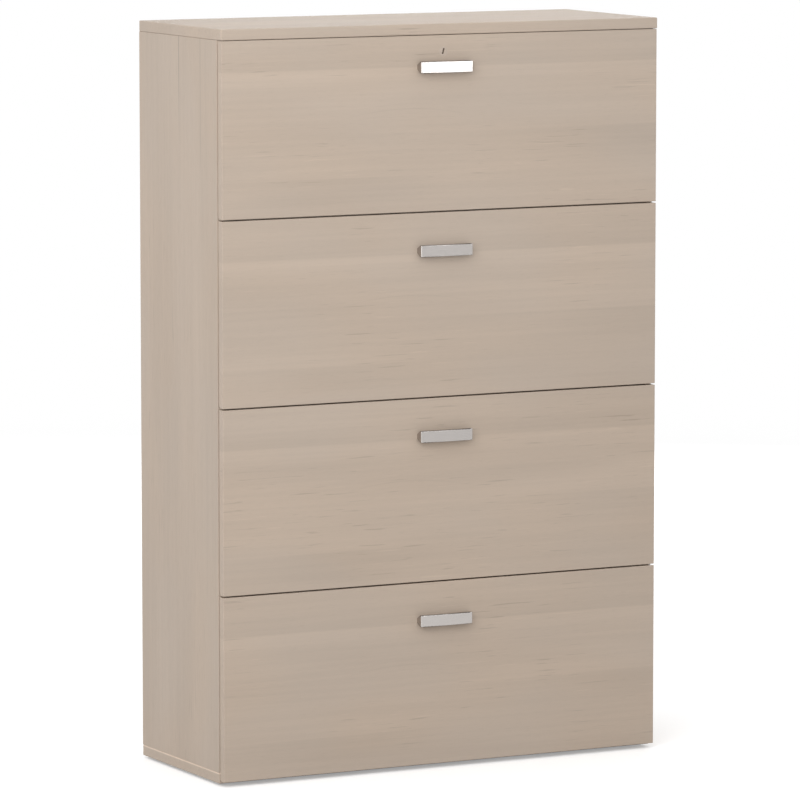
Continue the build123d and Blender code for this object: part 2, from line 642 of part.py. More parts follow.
def front_panel(number, cuts):
    """Front of a flap with its rounded edges, lower relief, hinge pockets and holes."""
    height = front_height(number)
    across = (-FRONT_HALF_WIDTH, FRONT_HALF_WIDTH)
    through = (-PIVOT_SETBACK, FRONT_BACK_U)
    front = rounded_block(across, through, (-PIVOT_HEIGHT, height - PIVOT_HEIGHT), FRONT_ROUNDING)
    low_v = -PIVOT_HEIGHT - OVERRUN
    back_u = FRONT_BACK_U + OVERRUN
    relief_outline = Polyline(
        (FRONT_BACK_U - RELIEF - OVERRUN, low_v),
        (back_u, low_v),
        (back_u, RELIEF - PIVOT_HEIGHT + OVERRUN),
        close=True,
    )
    relief = sheet(relief_outline, -HALF_WIDTH, 1, WIDTH)
    room = NOSE_RADIUS + POCKET_CLEARANCE
    pocket_top = sqrt(NOSE_RADIUS**2 + NOSE_RISE**2) + POCKET_CLEARANCE
    pockets = []
    for side in SIDES:
        stations = (side * (PIN_HEAD_INNER - POCKET_CLEARANCE), side * (SIDE_INNER + POCKET_CLEARANCE))
        pockets.append(block(stations, (-room, back_u), (-room, pocket_top)))
    return cut_all(front, [relief] + pockets + cuts)


def handle_plans():
    """Plans of a pull: its bowed bar with two legs, and the hollow between the legs."""
    half = HANDLE_LENGTH / 2
    inner = half - HANDLE_LEG
    end_y = HANDLE_BOW - HANDLE_PROJECTION
    inner_y = end_y + HANDLE_BAR
    sides = Polyline((-half, end_y), (-half, 0), (half, 0), (half, end_y))
    bow = ThreePointArc((half, end_y), (0, -HANDLE_PROJECTION), (-half, end_y))
    legs = Polyline((-inner, inner_y), (-inner, OVERRUN), (inner, OVERRUN), (inner, inner_y))
    inner_bow = ThreePointArc((inner, inner_y), (0, HANDLE_BAR - HANDLE_PROJECTION), (-inner, inner_y))
    outline = make_face(sides + bow)
    hollow = make_face(legs + inner_bow)
    outline = fillet(outline.vertices().group_by(Axis.Y)[0], HANDLE_CORNER)
    hollow = fillet(hollow.vertices().group_by(Axis.Y)[0], HANDLE_INNER_CORNER)
    return outline, hollow


def handle_body():
    """Bowed pull with rounded upper and lower edges, on legs that taper towards the front."""
    outline, hollow = handle_plans()
    half_height = HANDLE_HEIGHT / 2
    bar = Pos(0, 0, -half_height) * extrude(outline, amount=HANDLE_HEIGHT, dir=(0, 0, 1))
    levels = bar.edges().group_by(Axis.Z)
    rims = [edge for level in (levels[0], levels[-1]) for edge in level.sort_by(Axis.Y)[:-1]]
    bar = fillet(rims, HANDLE_EDGE_ROUNDING)
    bar = bar - Pos(0, 0, -HANDLE_HEIGHT) * extrude(hollow, amount=2 * HANDLE_HEIGHT, dir=(0, 0, 1))
    elevation = RectangleRounded(HANDLE_LENGTH, HANDLE_HEIGHT, HANDLE_END_CORNER)
    ends = extrude(Plane.XZ * elevation, amount=HANDLE_PROJECTION + OVERRUN, both=True)
    bar_back_y = HANDLE_BOW + HANDLE_BAR - HANDLE_PROJECTION
    ahead_y = -HANDLE_PROJECTION - OVERRUN
    clear_v = half_height + OVERRUN
    foot_v = HANDLE_FOOT_HEIGHT / 2
    taper_outline = Polyline(
        (ahead_y, -clear_v),
        (bar_back_y, -clear_v),
        (bar_back_y, -half_height),
        (0, -foot_v),
        (0, foot_v),
        (bar_back_y, half_height),
        (bar_back_y, clear_v),
        (ahead_y, clear_v),
        close=True,
    )
    across = HANDLE_LENGTH + 2 * OVERRUN
    return bar & sheet(taper_outline, -across / 2, 1, across) & ends


def handle(number, front_cuts):
    """Handle and its two screws, placed on a front; the screws' holes go to the front."""
    drop = TOP_HANDLE_DROP if number == FLAP_NUMBERS[0] else HANDLE_DROP
    centre_v = front_height(number) - PIVOT_HEIGHT - drop
    body = Pos(0, -PIVOT_SETBACK, centre_v) * handle_body()
    screws = []
    length = FRONT_THICKNESS + HANDLE_SCREW_GRIP
    front_hole_radius = HANDLE_SCREW_RADIUS + HANDLE_SCREW_HOLE_PLAY
    for side in SIDES:
        seat = (side * (HANDLE_LENGTH - HANDLE_LEG) / 2, FRONT_BACK_U, centre_v)
        outward = (0, -1, 0)
        shank = rod(HANDLE_SCREW_RADIUS, seat, outward, length)
        screws.append(shank + screw_head(HANDLE_SCREW_HEAD_RADIUS, HANDLE_SCREW_HEAD, seat, outward))
        body = body - rod(HANDLE_SCREW_RADIUS + SEAT_CLEARANCE, seat, outward, length)
        front_cuts.append(rod(front_hole_radius, seat, outward, FRONT_THICKNESS))
    return body, screws


def strike_front_u():
    """Front face of the lock strike behind the pivot."""
    return FRONT_BACK_U + STRIKE_PLAY


def lock_height_v():
    """Height of the lock's axis above the top flap's pivot."""
    return front_height(FLAP_NUMBERS[0]) - PIVOT_HEIGHT - LOCK_DROP


def lock_pieces(front_cuts):
    """Lock of the top flap with its cam turned aside, as it stands unlocked."""
    v = lock_height_v()
    face = (0, -PIVOT_SETBACK, v)
    inward = (0, 1, 0)
    cam_u = strike_front_u() + STRIKE_THICKNESS + STRIKE_PLAY
    barrel = cam_u - CAM_PLATE_PLAY + PIVOT_SETBACK
    housing_length = FRONT_THICKNESS + LOCK_HOUSING_TAIL
    bore = LOCK_PLUG_RADIUS + RUNNING_CLEARANCE
    housing = rod(LOCK_HOUSING_RADIUS, face, inward, min(housing_length, barrel))
    housing = housing - rod(bore, face, inward, barrel)
    nut_seat = (0, FRONT_BACK_U, v)
    nut = rod(LOCK_NUT_RADIUS, nut_seat, inward, LOCK_NUT_THICKNESS)
    nut = nut - rod(LOCK_HOUSING_RADIUS + SEAT_CLEARANCE, nut_seat, inward, LOCK_NUT_THICKNESS)
    tail_length = barrel + CAM_PLATE_PLAY + CAM_PLATE_THICKNESS + LOCK_TAIL_OVERHANG
    plug = rod(LOCK_PLUG_RADIUS, face, inward, barrel) + rod(LOCK_TAIL_RADIUS, face, inward, tail_length)
    slot = Pos(*face) * Rot(0, KEY_SLOT_LEAN, 0) * Box(KEY_SLOT_WIDTH, 2 * KEY_SLOT_DEPTH, KEY_SLOT_HEIGHT)
    plug = plug - slot
    top_v = TOP_UNDER_Z - front_bottom(FLAP_NUMBERS[0]) - PIVOT_HEIGHT
    cam_length = top_v - STRIKE_THICKNESS - CAM_PLATE_PLAY - STRIKE_PLAY - v
    cam_plane = (cam_u, cam_u + CAM_PLATE_THICKNESS)
    cam = block((-cam_length, 0), cam_plane, (v - CAM_PLATE_HALF_WIDTH, v + CAM_PLATE_HALF_WIDTH))
    cam += rod(CAM_PLATE_HALF_WIDTH, (0, cam_u, v), inward, CAM_PLATE_THICKNESS)
    cam = cam - rod(LOCK_TAIL_RADIUS + SEAT_CLEARANCE, (0, cam_u, v), inward, CAM_PLATE_THICKNESS)
    front_cuts.append(rod(LOCK_HOUSING_RADIUS + SEAT_CLEARANCE, face, inward, FRONT_THICKNESS))
    return {"lock_housing": housing, "lock_nut": nut, "lock_plug": plug, "lock_cam": cam}


def build_flap(number, carcass):
    """All the pieces of one flap, and the fittings of the carcass that carry it."""
    place = at_pivot(number)
    bin_box = Bin(number)
    carcass.hang_flap(number, bin_box)
    front_cuts = []
    body, handle_screws = handle(number, front_cuts)
    plates = bin_box.side_plates()
    pieces = {
        "handle": [body],
        "handle_screws": handle_screws,
        "side_plates": plates,
        "pivot_bushes": bin_box.pivot_bushes(),
        "plate_screws": bin_box.screws,
    }
    pieces.update({name: [board] for name, board in bin_box.boards().items()})
    lock = lock_pieces(front_cuts) if number == FLAP_NUMBERS[0] else {}
    pieces["front"] = [front_panel(number, front_cuts + bin_box.screw_cuts)]
    nodes = {f"flap_{number}_{name}": placed(place, shapes) for name, shapes in pieces.items()}
    nodes.update({name: placed(place, [shape]) for name, shape in lock.items()})
    return nodes


def build_cabinet():
    """Every node of the cabinet with its list of solids."""
    carcass = Carcass()
    nodes = {}
    for number in FLAP_NUMBERS:
        nodes.update(build_flap(number, carcass))
    nodes["lock_strike"] = [carcass.strike(lock_height_v())]
    carcass.join_panels()
    carcass.add_glides()
    carcass.screw_back()
    carcass.wall_holes()
    nodes.update({name: [shape] for name, shape in carcass.panels().items()})
    nodes.update(carcass.groups)
    return nodes


os.makedirs("parts", exist_ok=True)
for node, shapes in build_cabinet().items():
    solids = [solid for shape in shapes for solid in shape.solids()]
    export_step(Compound(children=solids) if len(solids) > 1 else solids[0], f"parts/{node}.step")
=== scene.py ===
"""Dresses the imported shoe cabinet: laminate panels, tilting flaps, pulls, bins, fittings and studio."""

import logging
import math
from dataclasses import dataclass, field
from enum import Enum

import bpy
from mathutils import Matrix, Vector


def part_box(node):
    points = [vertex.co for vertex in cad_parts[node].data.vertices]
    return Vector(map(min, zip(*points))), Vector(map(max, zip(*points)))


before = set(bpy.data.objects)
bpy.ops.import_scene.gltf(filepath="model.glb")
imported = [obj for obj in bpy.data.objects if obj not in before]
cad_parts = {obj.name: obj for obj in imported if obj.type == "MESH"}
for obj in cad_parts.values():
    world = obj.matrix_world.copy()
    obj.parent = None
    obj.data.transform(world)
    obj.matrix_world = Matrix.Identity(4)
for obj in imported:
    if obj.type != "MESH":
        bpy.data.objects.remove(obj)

LOG = logging.getLogger("shoe_cabinet")
FLAP_COUNT = 4

Colour = tuple[float, float, float]
Triple = tuple[float, float, float]
Span = tuple[float, float]
Socket = bpy.types.NodeSocket

WHITE = (1.0, 1.0, 1.0, 1.0)
QUARTER_TURN_DEG = 90.0

# Whole range of a mask, the same range backwards, and the part that holds most of a cloudy pattern
WHOLE: Span = (0.0, 1.0)
BACKWARDS: Span = (1.0, 0.0)
MIDDLE: Span = (0.3, 0.7)

# How far the rounded and the flat surface face the same way, from a flat to an edge
EDGE_TURN: Span = (0.99, 0.75)
EDGE_SAMPLES = 4

# Places along X between which the cabinet's left half sets in, in metres
LEFT_HALF: Span = (0.0, -0.1)


class Finish(Enum):
    """Finishes of the cabinet's pieces, by the names of their materials."""

    LAMINATE_ACROSS = "laminate_across"
    LAMINATE_FRONT = "laminate_front"
    LAMINATE_UPRIGHT = "laminate_upright"
    LAMINATE_BASE = "laminate_base"
    BIN_BOARD = "bin_board"
    BACK_BOARD = "back_board"
    SATIN_METAL = "satin_metal"
    ZINC_STEEL = "zinc_steel"
    CAM_ZINC = "cam_zinc"
    GREY_POWDER_COAT = "grey_powder_coat"
    BLACK_PLASTIC = "black_plastic"
    WHITE_NYLON = "white_nylon"
    CLEAR_RUBBER = "clear_rubber"
    LOCK_METAL = "lock_metal"


class Grain(Enum):
    """Row axis that the wood grain of a board runs along."""

    ACROSS = "X"
    UPRIGHT = "Z"


class Coat(Enum):
    """Kinds of smooth coated or moulded surface."""

    POWDER = "powder"
    MOULDED = "moulded"
    RUBBER = "rubber"


def around(depth: float) -> Span:
    """Tones from a depth below 1 to as much above it."""
    return 1.0 - depth, 1.0 + depth


def changed(change: float) -> Span:
    """Tones from 1 to a change above it, or below it where the change is negative."""
    return 1.0, 1.0 + change


@dataclass(frozen=True)
class CloudPattern:
    """Cloudy pattern, with its repeats per metre along X, Y and Z."""

    scale: Triple
    detail: float
    shift: Triple
    distortion: float = 0.0


@dataclass(frozen=True)
class GrainPattern:
    """Cloudy pattern drawn out along the grain, with its repeats per metre along and across it."""

    along: float
    across: float
    detail: float
    shift: Triple
    distortion: float = 0.0

    def turned(self, grain: Grain) -> CloudPattern:
        """Pattern that lies along a board's grain."""
        scale = tuple(self.along if axis == grain.value else self.across for axis in "XYZ")
        return CloudPattern(scale, self.detail, self.shift, self.distortion)


class NodeSheet:
    """Short-hand for laying out a tree of shader nodes."""

    def __init__(self, tree: bpy.types.NodeTree, output: str) -> None:
        """Empties the tree and gives it its output.

        Args:
            tree: Node tree of a material or of the surroundings.
            output: Kind of the tree's output node.
        """
        self.tree = tree
        self.tree.nodes.clear()
        self.surface = self.tree.nodes.new(output).inputs["Surface"]

    def link(self, source: Socket, target: Socket) -> None:
        """Joins an output socket to an input socket."""
        self.tree.links.new(source, target)

    def worked(self, operation: str, first: Socket, second: Socket | float | None = None) -> Socket:
        """Result of an arithmetic operation.

        Args:
            operation: Name of the operation.
            first: Value that it works on.
            second: Second value or fixed number, where the operation takes one.

        Returns:
            The result's socket.
        """
        node = self.tree.nodes.new("ShaderNodeMath")
        node.operation = operation
        self.link(first, node.inputs[0])
        if isinstance(second, Socket):
            self.link(second, node.inputs[1])
        elif second is not None:
            node.inputs[1].default_value = second
        return node.outputs["Value"]

    def blended(self, share: Socket, first: Socket, second: Socket) -> Socket:
        """Shader that goes from the first to the second as the share grows.

        Args:
            share: Value between 0 and 1.
            first: Shader where the share is 0.
            second: Shader where the share is 1.

        Returns:
            The blended shader's socket.
        """
        node = self.tree.nodes.new("ShaderNodeMixShader")
        self.link(share, node.inputs["Fac"])
        self.link(first, node.inputs[1])
        self.link(second, node.inputs[2])
        return node.outputs["Shader"]

    def seen_directly(self) -> Socket:
        """Mask of the rays that the camera sends out, straight or by a reflection.

        Returns:
            Socket that is 1 for such rays and 0 for others.
        """
        path = self.tree.nodes.new("ShaderNodeLightPath")
        share = path.outputs["Is Camera Ray"]
        for ray in ("Is Glossy Ray", "Is Transmission Ray"):
            share = self.worked("MAXIMUM", share, path.outputs[ray])
        return share


class FinishSheet(NodeSheet):
    """Node sheet of one material, with its shader and the coordinates on its surface."""

    def __init__(self, name: str) -> None:
        """Starts a plain material.

        Args:
            name: Name of the material.
        """
        self.material = bpy.data.materials.new(name)
        self.material.use_nodes = True
        super().__init__(self.material.node_tree, "ShaderNodeOutputMaterial")
        self.shader = self.tree.nodes.new("ShaderNodeBsdfPrincipled")
        self.link(self.shader.outputs["BSDF"], self.surface)
        coordinates = self.tree.nodes.new("ShaderNodeTexCoord")
        self.place = coordinates.outputs["Object"]
        self.normal = coordinates.outputs["Normal"]

    def noise(self, pattern: CloudPattern) -> Socket:
        """Value of a cloudy pattern on the surface, between 0 and 1.

        Args:
            pattern: Pattern to lay out.

        Returns:
            The value's socket.
        """
        mapping = self.tree.nodes.new("ShaderNodeMapping")
        mapping.inputs["Scale"].default_value = pattern.scale
        mapping.inputs["Location"].default_value = pattern.shift
        self.link(self.place, mapping.inputs["Vector"])
        texture = self.tree.nodes.new("ShaderNodeTexNoise")
        texture.inputs["Scale"].default_value = 1.0
        texture.inputs["Detail"].default_value = pattern.detail
        texture.inputs["Distortion"].default_value = pattern.distortion
        self.link(mapping.outputs["Vector"], texture.inputs["Vector"])
        return texture.outputs["Fac"]

    def ranged(self, value: Socket, source: Span, target: Span) -> Socket:
        """Value brought smoothly from one range to another.

        Args:
            value: Socket to read.
            source: Range of the value that is used.
            target: Range that it becomes.

        Returns:
            The new value's socket.
        """
        node = self.tree.nodes.new("ShaderNodeMapRange")
        node.interpolation_type = "SMOOTHSTEP"
        node.inputs["From Min"].default_value, node.inputs["From Max"].default_value = source
        node.inputs["To Min"].default_value, node.inputs["To Max"].default_value = target
        self.link(value, node.inputs["Value"])
        return node.outputs["Result"]

    def product(self, *values: Socket) -> Socket:
        """Values multiplied together.

        Args:
            *values: Sockets to multiply, at least one.

        Returns:
            The product's socket.
        """
        result = values[0]
        for value in values[1:]:
            result = self.worked("MULTIPLY", result, value)
        return result

    def between(self, share: Socket, first: Colour, second: Colour) -> Socket:
        """Colour that goes from the first to the second as the share grows.

        Args:
            share: Value between 0 and 1.
            first: Colour where the share is 0.
            second: Colour where the share is 1.

        Returns:
            The colour's socket.
        """
        node = self.tree.nodes.new("ShaderNodeMix")
        node.data_type = "RGBA"
        self.link(share, node.inputs["Factor"])
        node.inputs["A"].default_value = (*first, 1.0)
        node.inputs["B"].default_value = (*second, 1.0)
        return node.outputs["Result"]

    def split(self, vector: Socket, name: str) -> Socket:
        """One part of a vector.

        Args:
            vector: Vector to take apart.
            name: Axis of the part.

        Returns:
            The part's socket.
        """
        node = self.tree.nodes.new("ShaderNodeSeparateXYZ")
        self.link(vector, node.inputs["Vector"])
        return node.outputs[name]

    def axis(self, name: str) -> Socket:
        """Place along one row axis, in metres."""
        return self.split(self.place, name)

    def level(self) -> Socket:
        """How far the surface faces up or down, from 0 on upright faces to 1 on level ones."""
        return self.worked("ABSOLUTE", self.split(self.normal, "Z"))

    def near(self, value: Socket, centre: float, reach: float) -> Socket:
        """Mask that is 1 where a value meets the centre and 0 from the reach away."""
        distance = self.worked("ABSOLUTE", self.worked("SUBTRACT", value, centre))
        return self.ranged(distance, (0.0, reach), BACKWARDS)

    def edges(self, radius: float) -> Socket:
        """Mask of the surface near sharp edges.

        Args:
            radius: Reach from the edge in metres.

        Returns:
            Socket that is 0 on flats and 1 on edges.
        """
        bevel = self.tree.nodes.new("ShaderNodeBevel")
        bevel.samples = EDGE_SAMPLES
        bevel.inputs["Radius"].default_value = radius
        flat = self.tree.nodes.new("ShaderNodeNewGeometry")
        facing = self.tree.nodes.new("ShaderNodeVectorMath")
        facing.operation = "DOT_PRODUCT"
        self.link(bevel.outputs["Normal"], facing.inputs[0])
        self.link(flat.outputs["Normal"], facing.inputs[1])
        return self.ranged(facing.outputs["Value"], EDGE_TURN, WHOLE)

    def paint(self, colour: Socket, tone: Socket) -> None:
        """Gives the shader a colour that a tone makes lighter or darker.

        Args:
            colour: Colour of the surface.
            tone: Factor around 1.
        """
        node = self.tree.nodes.new("ShaderNodeVectorMath")
        node.operation = "SCALE"
        self.link(colour, node.inputs[0])
        self.link(tone, node.inputs["Scale"])
        self.link(node.outputs["Vector"], self.shader.inputs["Base Color"])

    def roughen(self, pattern: Socket, source: Span, roughness: Span) -> None:
        """Gives the shader a roughness that follows a range of a pattern."""
        self.link(self.ranged(pattern, source, roughness), self.shader.inputs["Roughness"])

    def bump(self, height: Socket, depth: float) -> None:
        """Gives the shader a relief.

        Args:
            height: Pattern of the heights.
            depth: Depth of the relief in metres.
        """
        node = self.tree.nodes.new("ShaderNodeBump")
        node.inputs["Distance"].default_value = depth
        self.link(height, node.inputs["Height"])
        self.link(node.outputs["Normal"], self.shader.inputs["Normal"])

    def set(self, socket: str, value: float | tuple[float, ...]) -> None:
        """Fixes a value on one of the shader's sockets."""
        self.shader.inputs[socket].default_value = value


@dataclass(frozen=True)
class GrainLine:
    """Thin dark upright line in the grain of the left side panel, fading out downwards.

    Its places and width are in metres, and its depth is a share of the tone.
    """

    y: float
    top: float
    foot: float
    half_width: float
    depth: float

    def tone(self, sheet: FinishSheet) -> Socket:
        """Tone of the line around 1.

        Args:
            sheet: Node sheet of the material.

        Returns:
            The tone's socket.
        """
        width = sheet.near(sheet.axis("Y"), self.y, self.half_width)
        fading = sheet.ranged(sheet.axis("Z"), (self.foot, self.top), WHOLE)
        left = sheet.ranged(sheet.axis("X"), LEFT_HALF, WHOLE)
        return sheet.ranged(sheet.product(width, fading, left), WHOLE, changed(-self.depth))


@dataclass(frozen=True)
class PaintedRimHighlight:
    """Painted highlight: a pale line painted where a level board's edge band is rounded over and catches
    the light.

    Its place and height are in metres, and its lift is a share of the tone.
    """

    z: float
    half_height: float
    lift: float

    def tone(self, sheet: FinishSheet) -> Socket:
        """Tone of the line around 1."""
        # Painted highlight along the rounded edge band.
        mask = sheet.near(sheet.axis("Z"), self.z, self.half_height)
        return sheet.ranged(mask, WHOLE, changed(self.lift))


@dataclass(frozen=True)
class GrainWash:
    """Paler or darker wash in a front's print, crisp along one edge and fading away from it.

    The edge lies level at a rise above the front's lower edge. The wash fades downwards, or upwards
    where the fade is negative, and thins out along the grain by its reach from its centre. Lengths
    are in metres, and the shade is a share of the tone.
    """

    rise: float
    fade: float
    shade: float
    centre: float = 0.0
    reach: float = 4.0
    crispness: float = 0.002

    def tone(self, sheet: FinishSheet, height: Socket) -> Socket:
        """Tone of the wash around 1.

        Args:
            sheet: Node sheet of the material.
            height: Height above the front's lower edge.

        Returns:
            The tone's socket.
        """
        soft_end = self.rise + math.copysign(self.crispness, self.fade)
        fading = sheet.ranged(height, (self.rise - self.fade, self.rise), WHOLE)
        edge = sheet.ranged(height, (self.rise, soft_end), BACKWARDS)
        along = sheet.near(sheet.axis("X"), self.centre, self.reach)
        return sheet.ranged(sheet.product(fading, edge, along), WHOLE, changed(self.shade))


@dataclass(frozen=True)
class GrainArch:
    """Nest of thin arched lines in a front's print, as where a board is cut across its rings.

    Lengths are in metres. The shade is a share of the tone, and the line share that of the spacing
    over which a line fades out.
    """

    centre: float
    crest: float
    reach: float
    droop: float
    spacing: float
    count: int
    shade: float
    line_share: float = 0.2

    def tone(self, sheet: FinishSheet, height: Socket) -> Socket:
        """Tone of the lines around 1.

        Args:
            sheet: Node sheet of the material.
            height: Height above the front's lower edge.

        Returns:
            The tone's socket.
        """
        offset = sheet.worked("SUBTRACT", sheet.axis("X"), self.centre)
        bend = sheet.worked("MULTIPLY", sheet.product(offset, offset), self.droop / self.reach**2)
        level = sheet.worked("SUBTRACT", sheet.worked("ADD", height, bend), self.crest)
        distance = sheet.worked("PINGPONG", level, self.spacing / 2)
        line = sheet.ranged(distance, (0.0, self.spacing * self.line_share), BACKWARDS)
        nest = sheet.near(level, 0.0, self.count * self.spacing)
        mask = sheet.product(line, nest, sheet.near(offset, 0.0, self.reach))
        return sheet.ranged(mask, WHOLE, changed(self.shade))


@dataclass(frozen=True)
class WoodLaminate:
    """Matt laminate with a printed wood grain: soft bands, scattered strokes and fine pores.

    Depths and lifts are shares of the tone. A span is the part of a pattern that shows.
    """

    finish: Finish
    base: Colour
    grain: Grain
    lines: tuple[GrainLine | PaintedRimHighlight, ...] = ()
    figure: tuple[GrainWash | GrainArch, ...] = ()
    warm: Colour = (1.012, 1.0, 0.985)
    cool: Colour = (0.992, 1.0, 1.008)
    bands: GrainPattern = GrainPattern(along=1.1, across=8.0, detail=2.0, shift=(3.1, 7.7, 1.9))
    band_depth: float = 0.03
    patches: GrainPattern = GrainPattern(along=3.0, across=7.0, detail=1.0, shift=(7.3, 0.9, 4.4))
    cluster_span: Span = (0.42, 0.62)
    cluster_share: Span = (0.1, 1.0)
    streaks: GrainPattern = GrainPattern(along=3.0, across=120.0, detail=4.0, shift=(11.3, 2.9, 5.3))
    streak_span: Span = (0.28, 0.72)
    streak_depth: float = 0.02
    strokes: GrainPattern = GrainPattern(10.0, 250.0, detail=2.0, shift=(6.4, 8.8, 2.6), distortion=0.3)
    stroke_span: Span = (0.62, 0.74)
    stroke_depth: float = 0.17
    flecks: GrainPattern = GrainPattern(10.0, 250.0, detail=2.0, shift=(2.7, 5.8, 8.1), distortion=0.3)
    fleck_span: Span = (0.63, 0.75)
    fleck_lift: float = 0.07
    pores: GrainPattern = GrainPattern(along=45.0, across=900.0, detail=3.0, shift=(1.7, 4.1, 9.2))
    pore_span: Span = (0.52, 0.74)
    pore_depth: float = 0.05
    edge_radius: float = 0.001
    edge_lift: float = 0.015
    roughness: Span = (0.46, 0.60)
    roughness_span: Span = (0.35, 0.75)
    gloss: float = 0.35
    relief: float = 0.00003

    def tinted(self, tint: Colour) -> Colour:
        """The laminate's base colour under a tint."""
        return tuple(part * share for part, share in zip(self.base, tint))

    def line_tones(self, sheet: FinishSheet) -> list[Socket]:
        """Tones of the single lines and of the print's figure, which repeats on each front.

        Args:
            sheet: Node sheet of the material.

        Returns:
            One tone around 1 for each line and feature.
        """
        tones = [line.tone(sheet) for line in self.lines]
        if self.figure:
            lowest_pair = (FLAP_COUNT, FLAP_COUNT - 1)
            lowest, next_up = (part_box(f"flap_{number}_front")[0].z for number in lowest_pair)
            rise = sheet.worked("SUBTRACT", sheet.axis("Z"), lowest)
            height = sheet.worked("MODULO", rise, next_up - lowest)
            tones.extend(feature.tone(sheet, height) for feature in self.figure)
        return tones

    def make(self) -> bpy.types.Material:
        """Builds the material.

        Returns:
            The material.
        """
        sheet = FinishSheet(self.finish.value)
        patterns = (self.bands, self.patches, self.streaks, self.strokes, self.flecks, self.pores)
        bands, patches, streaks, strokes, flecks, pores = (
            sheet.noise(pattern.turned(self.grain)) for pattern in patterns
        )
        clusters = sheet.ranged(patches, self.cluster_span, self.cluster_share)
        stroke_mask = sheet.product(sheet.ranged(strokes, self.stroke_span, WHOLE), clusters)
        fleck_mask = sheet.product(sheet.ranged(flecks, self.fleck_span, WHOLE), clusters)
        tone = sheet.product(
            sheet.ranged(bands, MIDDLE, around(self.band_depth)),
            sheet.ranged(streaks, self.streak_span, around(self.streak_depth)),
            sheet.ranged(stroke_mask, WHOLE, changed(-self.stroke_depth)),
            sheet.ranged(fleck_mask, WHOLE, changed(self.fleck_lift)),
            sheet.ranged(pores, self.pore_span, changed(-self.pore_depth)),
            sheet.ranged(sheet.edges(self.edge_radius), WHOLE, changed(self.edge_lift)),
            *self.line_tones(sheet),
        )
        hue = sheet.ranged(patches, MIDDLE, WHOLE)
        sheet.paint(sheet.between(hue, self.tinted(self.cool), self.tinted(self.warm)), tone)
        sheet.roughen(pores, self.roughness_span, self.roughness)
        sheet.bump(sheet.worked("ADD", pores, strokes), self.relief)
        sheet.set("Specular IOR Level", self.gloss)
        return sheet.material


@dataclass(frozen=True)
class PlainBoard:
    """Thin board with a printed face: faint fibres, mottling and scuffed edges."""

    finish: Finish
    base: Colour
    faded: Colour
    fibres: CloudPattern = CloudPattern(scale=(28.0, 340.0, 340.0), detail=4.0, shift=(2.2, 6.1, 4.7))
    fibre_depth: float = 0.06
    patches: CloudPattern = CloudPattern(scale=(5.0, 5.0, 9.0), detail=3.0, shift=(8.1, 0.4, 3.6))
    patch_depth: float = 0.05
    edge_radius: float = 0.0015
    edge_depth: float = 0.1
    roughness: Span = (0.55, 0.72)
    gloss: float = 0.3
    relief: float = 0.00003

    def make(self) -> bpy.types.Material:
        """Builds the material.

        Returns:
            The material.
        """
        sheet = FinishSheet(self.finish.value)
        fibres = sheet.noise(self.fibres)
        patches = sheet.noise(self.patches)
        tone = sheet.product(
            sheet.ranged(fibres, MIDDLE, around(self.fibre_depth)),
            sheet.ranged(patches, MIDDLE, around(self.patch_depth)),
            sheet.ranged(sheet.edges(self.edge_radius), WHOLE, changed(-self.edge_depth)),
        )
        sheet.paint(sheet.between(patches, self.base, self.faded), tone)
        sheet.roughen(patches, MIDDLE, self.roughness)
        sheet.bump(fibres, self.relief)
        sheet.set("Specular IOR Level", self.gloss)
        return sheet.material


@dataclass(frozen=True)
class WorkedMetal:
    """Bare or plated metal with fine working marks along one axis, and edges lightened as rubbed wear where
    the edge change is positive, darkened as painted shade where it is negative.

    The level tone is painted shade: what is left of the colour where the surface faces up or down, standing
    in for dark reflections on those faces.
    """

    finish: Finish
    base: Colour
    dulled: Colour
    mark_scale: Triple
    mark_depth: float
    roughness: Span
    relief: float
    edge_wear_and_shade: float
    level_painted_shade: float = 1.0
    painted_shade_span: Span = (0.3, 0.8)
    mark_detail: float = 4.0
    mark_shift: Triple = (0.7, 3.3, 5.9)
    roughness_span: Span = (0.25, 0.75)
    clouds: CloudPattern = CloudPattern(scale=(60.0, 60.0, 60.0), detail=3.0, shift=(4.2, 1.1, 7.4))
    edge_radius: float = 0.0008

    def make(self) -> bpy.types.Material:
        """Builds the material.

        Returns:
            The material.
        """
        sheet = FinishSheet(self.finish.value)
        marks = sheet.noise(CloudPattern(self.mark_scale, self.mark_detail, self.mark_shift))
        clouds = sheet.noise(self.clouds)
        tone = sheet.product(
            sheet.ranged(marks, MIDDLE, around(self.mark_depth)),
            # Edges: lighter as rubbed wear where the change is positive, darker as painted shade along the
            # rims where it is negative.
            sheet.ranged(sheet.edges(self.edge_radius), WHOLE, changed(self.edge_wear_and_shade)),
            # Painted shade: faces looking up or down are darkened, standing in for dark reflections.
            sheet.ranged(sheet.level(), self.painted_shade_span, (1.0, self.level_painted_shade)),
        )
        sheet.paint(sheet.between(clouds, self.base, self.dulled), tone)
        sheet.roughen(marks, self.roughness_span, self.roughness)
        sheet.bump(marks, self.relief)
        sheet.set("Metallic", 1.0)
        return sheet.material


